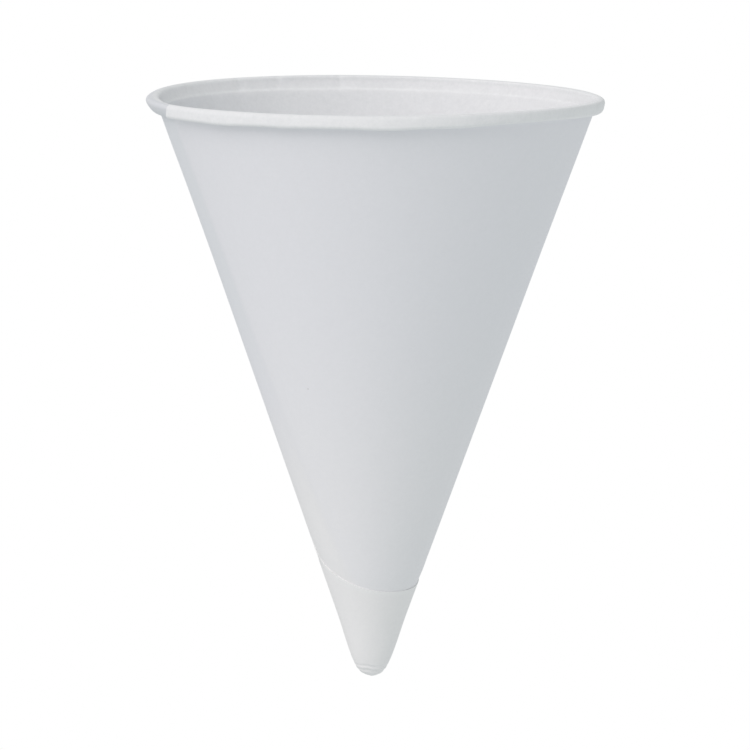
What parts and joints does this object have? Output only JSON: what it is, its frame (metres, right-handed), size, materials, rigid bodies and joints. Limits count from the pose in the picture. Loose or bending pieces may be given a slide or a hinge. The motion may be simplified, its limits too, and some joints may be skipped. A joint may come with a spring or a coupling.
{
  "type": "cone paper cup",
  "caption": "Plain white paper cone cup with a rolled rim, wound from one sheet with a diagonal lap, standing mouth down.",
  "frame": {"origin": "centre of the circle that the rolled rim rests on, at the cup's base as it stands mouth down", "axes": "+Z along the cone's axis, from the mouth to the tip; +X towards the start of the winding's side, and -Y is the side that faces the viewer in the picture"},
  "size_m": [0.073, 0.073, 0.0934],
  "materials": {
    "paper": "smooth uncoated white paper, matt with a slight sheen"
  },
  "bodies": {
    "root": {"cone_cup": "paper"}
  },
  "joints": []
}
